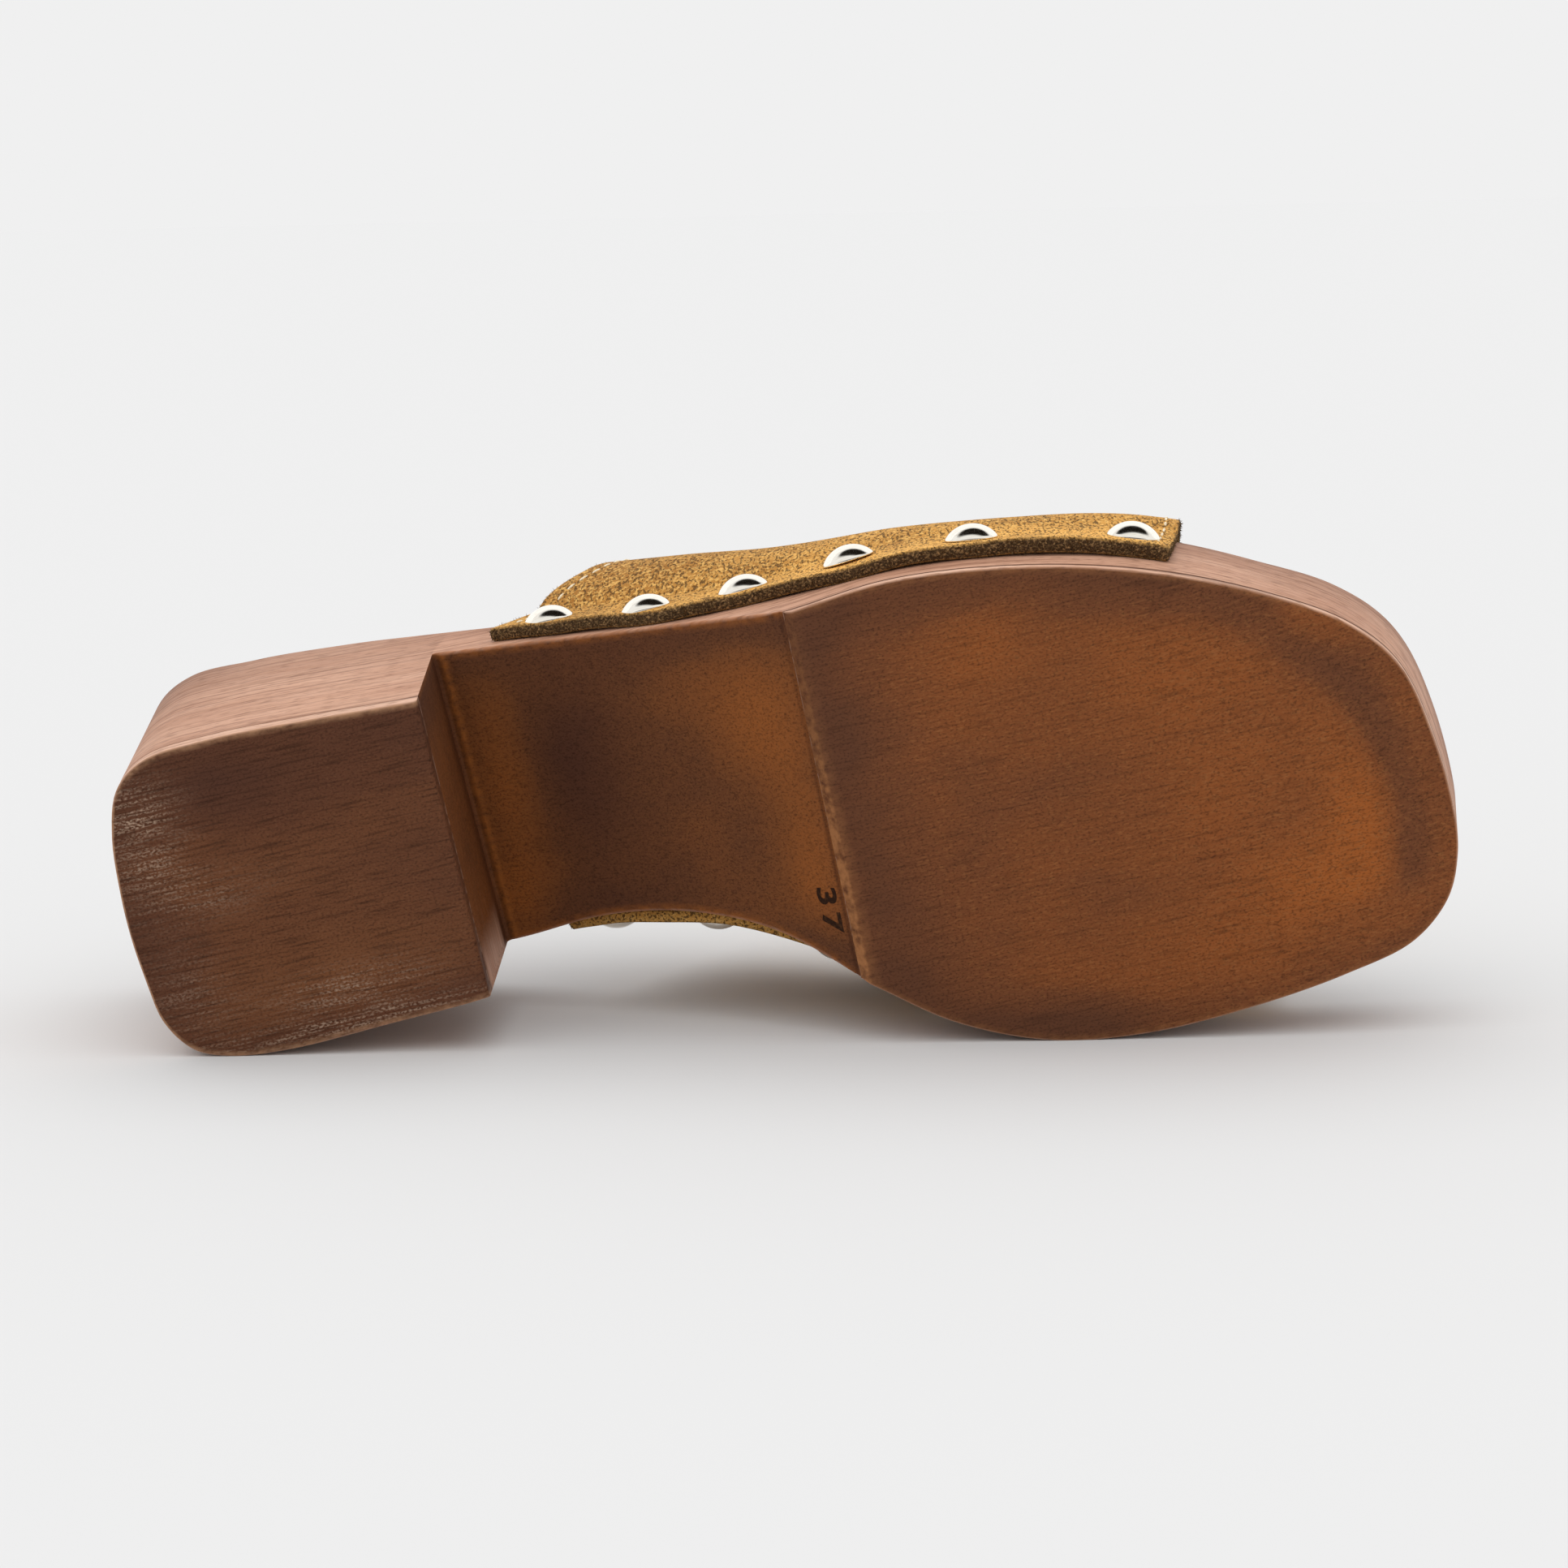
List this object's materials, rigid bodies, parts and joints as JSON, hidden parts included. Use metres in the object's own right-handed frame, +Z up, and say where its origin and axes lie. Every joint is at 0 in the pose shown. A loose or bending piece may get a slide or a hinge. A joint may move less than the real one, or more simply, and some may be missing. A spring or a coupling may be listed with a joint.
{
  "type": "wooden sole shoe",
  "caption": "Right-foot clog mule lying on its side: carved wooden sole with block heel and arched waist, thin tread and heel lift, and an open-toed suede band held by dome nails.",
  "frame": {"origin": "middle of the bounding box, on the floor that the shoe lies on", "axes": "+Z up from the floor, +X from heel to toe, -Y the side that the underside of the sole faces"},
  "size_m": [0.2616, 0.101, 0.0983],
  "materials": {
    "stained_wood": "stained reddish brown, satin, fine lengthwise grain",
    "brown_tread": "sole leather burnished dark at the edges, orange brown in the middle, satin",
    "brown_lift": "dark brown sole leather, lengthwise streaks and pale scuffs",
    "tan_suede": "tan suede with a short nap, dark raw edges",
    "nickel": "polished nickel"
  },
  "bodies": {
    "root": {"wood_sole": "stained_wood", "forefoot_tread": "brown_tread", "heel_lift": "brown_lift", "suede_vamp": "tan_suede", "nail_lateral_1": "nickel", "nail_lateral_2": "nickel", "nail_lateral_3": "nickel", "nail_lateral_4": "nickel", "nail_lateral_5": "nickel", "nail_lateral_6": "nickel", "nail_medial_1": "nickel", "nail_medial_2": "nickel", "nail_medial_3": "nickel", "nail_medial_4": "nickel", "nail_medial_5": "nickel"}
  },
  "joints": []
}
